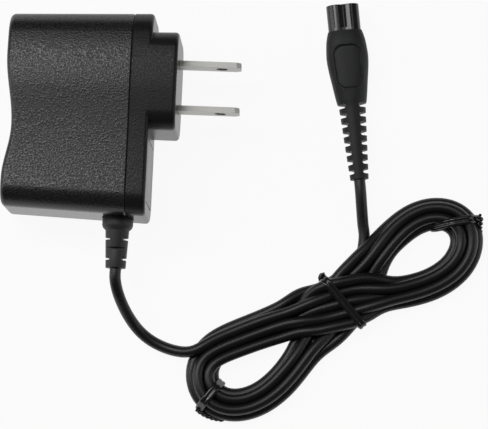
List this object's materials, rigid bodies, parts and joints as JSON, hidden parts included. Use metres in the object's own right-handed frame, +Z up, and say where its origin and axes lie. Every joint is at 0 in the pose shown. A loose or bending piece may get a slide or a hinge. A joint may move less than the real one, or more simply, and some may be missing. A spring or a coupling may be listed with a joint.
{
  "type": "mains charger with cord",
  "caption": "Plug-in mains charger for a beard trimmer: flat-blade adapter, thin cord wound in a tied hank, and two-pole trimmer connector.",
  "frame": {"origin": "on the surface the adapter lies on, under the middle of the adapter with its blades, without the cord", "axes": "+X along the blades, out of the plug face; +Y from the cord end of the adapter to its top end; +Z up through the adapter's thickness"},
  "size_m": [0.1351, 0.1207, 0.028],
  "materials": {
    "housing": "fine moulded grain, satin black",
    "label": "bare satin film",
    "blade": "nickel-plated, bright",
    "strain_relief": "satin",
    "board": "bare laminate",
    "wire_live": "insulated",
    "wire_neutral": "insulated",
    "resistor": "lacquered",
    "inductor": "heat-shrink sleeve",
    "chip": "moulded",
    "capacitor": "shrink sleeve",
    "ferrite": "sintered",
    "bobbin": "moulded",
    "winding": "tape-wrapped",
    "optocoupler": "moulded",
    "safety_capacitor": "dipped lacquer",
    "cord": "smooth satin jacket",
    "tie": "flat plastic over a wire core",
    "connector": "satin moulding",
    "nose": "glossy",
    "contact": "plain"
  },
  "bodies": {
    "root": {"rear_shell": "housing", "front_shell": "housing", "rating_label": "label", "live_blade": "blade", "neutral_blade": "blade", "strain_relief": "strain_relief", "circuit_board": "board", "live_wire": "wire_live", "neutral_wire": "wire_neutral", "fusible_resistor": "resistor", "filter_inductor": "inductor", "rectifier_diodes": "chip", "input_capacitors": "capacitor", "transformer_core": "ferrite", "transformer_bobbin": "bobbin", "transformer_winding": "winding", "controller_chip": "chip", "optocoupler": "optocoupler", "safety_capacitor": "safety_capacitor", "output_diode": "chip", "output_capacitor": "capacitor", "positive_wire": "wire_live", "negative_wire": "wire_neutral", "adapter_lead": "cord", "cord_hank": "cord", "connector_lead": "cord", "middle_tie": "tie", "left_tie": "tie", "right_tie": "tie", "connector_grip": "connector", "connector_nose": "nose", "connector_contacts": "contact"}
  },
  "joints": []
}
